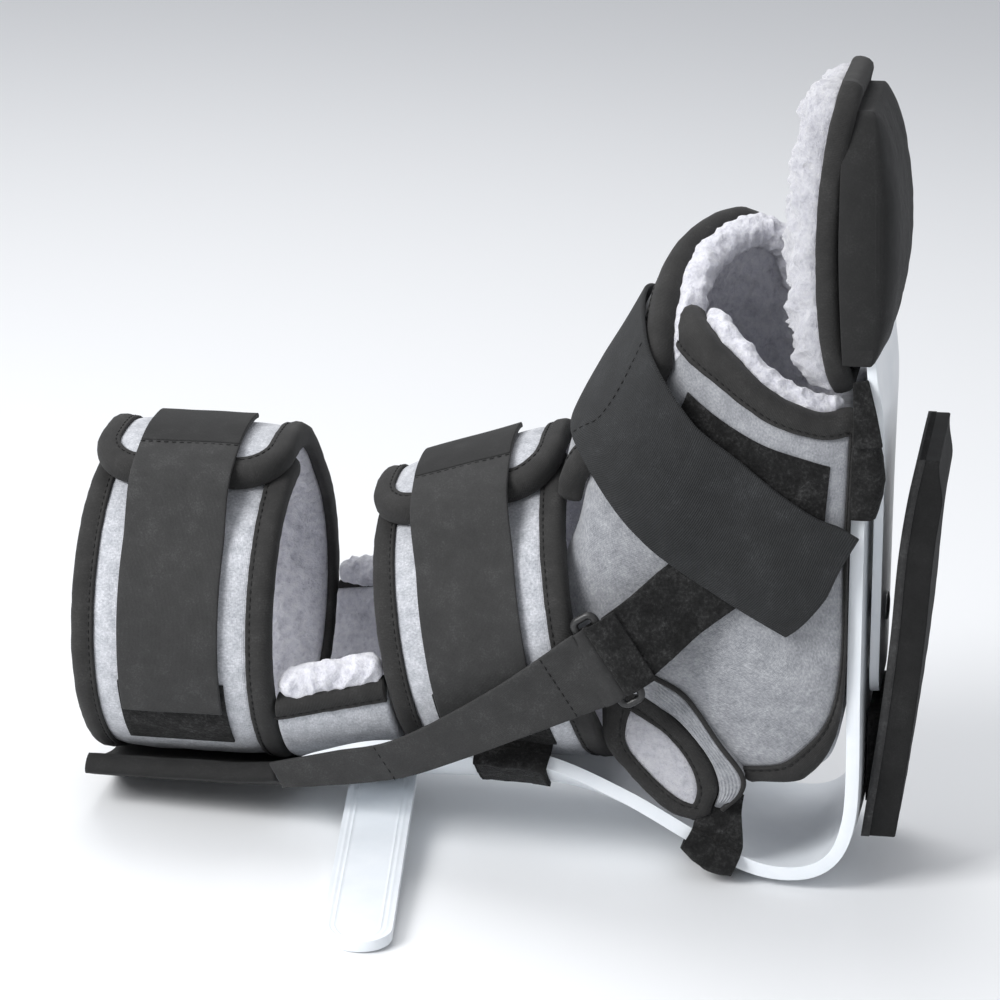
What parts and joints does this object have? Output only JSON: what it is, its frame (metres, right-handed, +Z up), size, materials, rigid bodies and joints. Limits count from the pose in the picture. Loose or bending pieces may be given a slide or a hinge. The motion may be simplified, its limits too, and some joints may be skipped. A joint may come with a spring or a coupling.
{
  "type": "contracture boot",
  "caption": "Padded ankle and foot contracture boot with a rigid L-shaped splint, leg cuffs, hook-and-loop straps, toe board, foam walking sole and anti-rotation bar.",
  "frame": {"origin": "middle of the bounding box at floor level", "axes": "+X from the calf end towards the sole, +Y from the near side with the bar to the far side, +Z up, towards the toes"},
  "size_m": [0.3252, 0.215, 0.3064],
  "materials": {
    "white_plastic": "satin",
    "binding_tape": "folded woven tape",
    "zinc_steel": "plain",
    "black_plastic": "matt",
    "black_foam": "matt, closed-cell foam",
    "loop_pile": "looped pile",
    "fleece": "deep fleece",
    "strap_webbing": "smooth laminated webbing",
    "grey_jersey": "heathered knit"
  },
  "bodies": {
    "boot": {"upper_cuff": "grey_jersey", "upper_cuff_binding": "binding_tape", "upper_cuff_loop_patch": "loop_pile", "upper_cuff_strap": "strap_webbing", "ankle_cuff": "grey_jersey", "ankle_cuff_binding": "binding_tape", "ankle_cuff_loop_patch": "loop_pile", "ankle_cuff_strap": "strap_webbing", "calf_bridge": "grey_jersey", "calf_bridge_near_binding": "binding_tape", "calf_bridge_far_binding": "binding_tape", "foot_wrap_near": "grey_jersey", "foot_wrap_near_binding": "binding_tape", "foot_wrap_flap": "grey_jersey", "foot_wrap_flap_binding": "binding_tape", "foot_bed": "fleece", "splint_sleeve": "strap_webbing", "bar_rivet": "zinc_steel", "splint": "white_plastic", "toe_plate": "white_plastic", "toe_plate_screw": "zinc_steel", "foam_sole": "black_foam", "foam_hook_patch": "loop_pile", "toe_pad_back": "grey_jersey", "toe_pad_back_binding": "binding_tape", "toe_pad_fleece": "fleece", "toe_pad_sleeve": "strap_webbing", "mid_hook_strap": "strap_webbing", "heel_hook_strap": "strap_webbing", "toe_hook_strap": "strap_webbing", "heel_tab": "fleece", "heel_tab_binding": "binding_tape", "heel_edging": "grey_jersey", "ankle_strap": "strap_webbing", "ankle_hook_strap": "loop_pile", "strap_ring": "black_plastic", "foot_strap": "strap_webbing", "foot_loop_patch": "loop_pile"},
    "bar": {"anti_rotation_bar": "white_plastic"}
  },
  "joints": [
    {"name": "bar_swivel", "type": "hinge", "parent": "boot", "child": "bar", "pos_m": [-0.04482, 0.0435, 0.0089], "axis": [-0.0638, 0, 0.998], "range_deg": [-30, 45]}
  ]
}
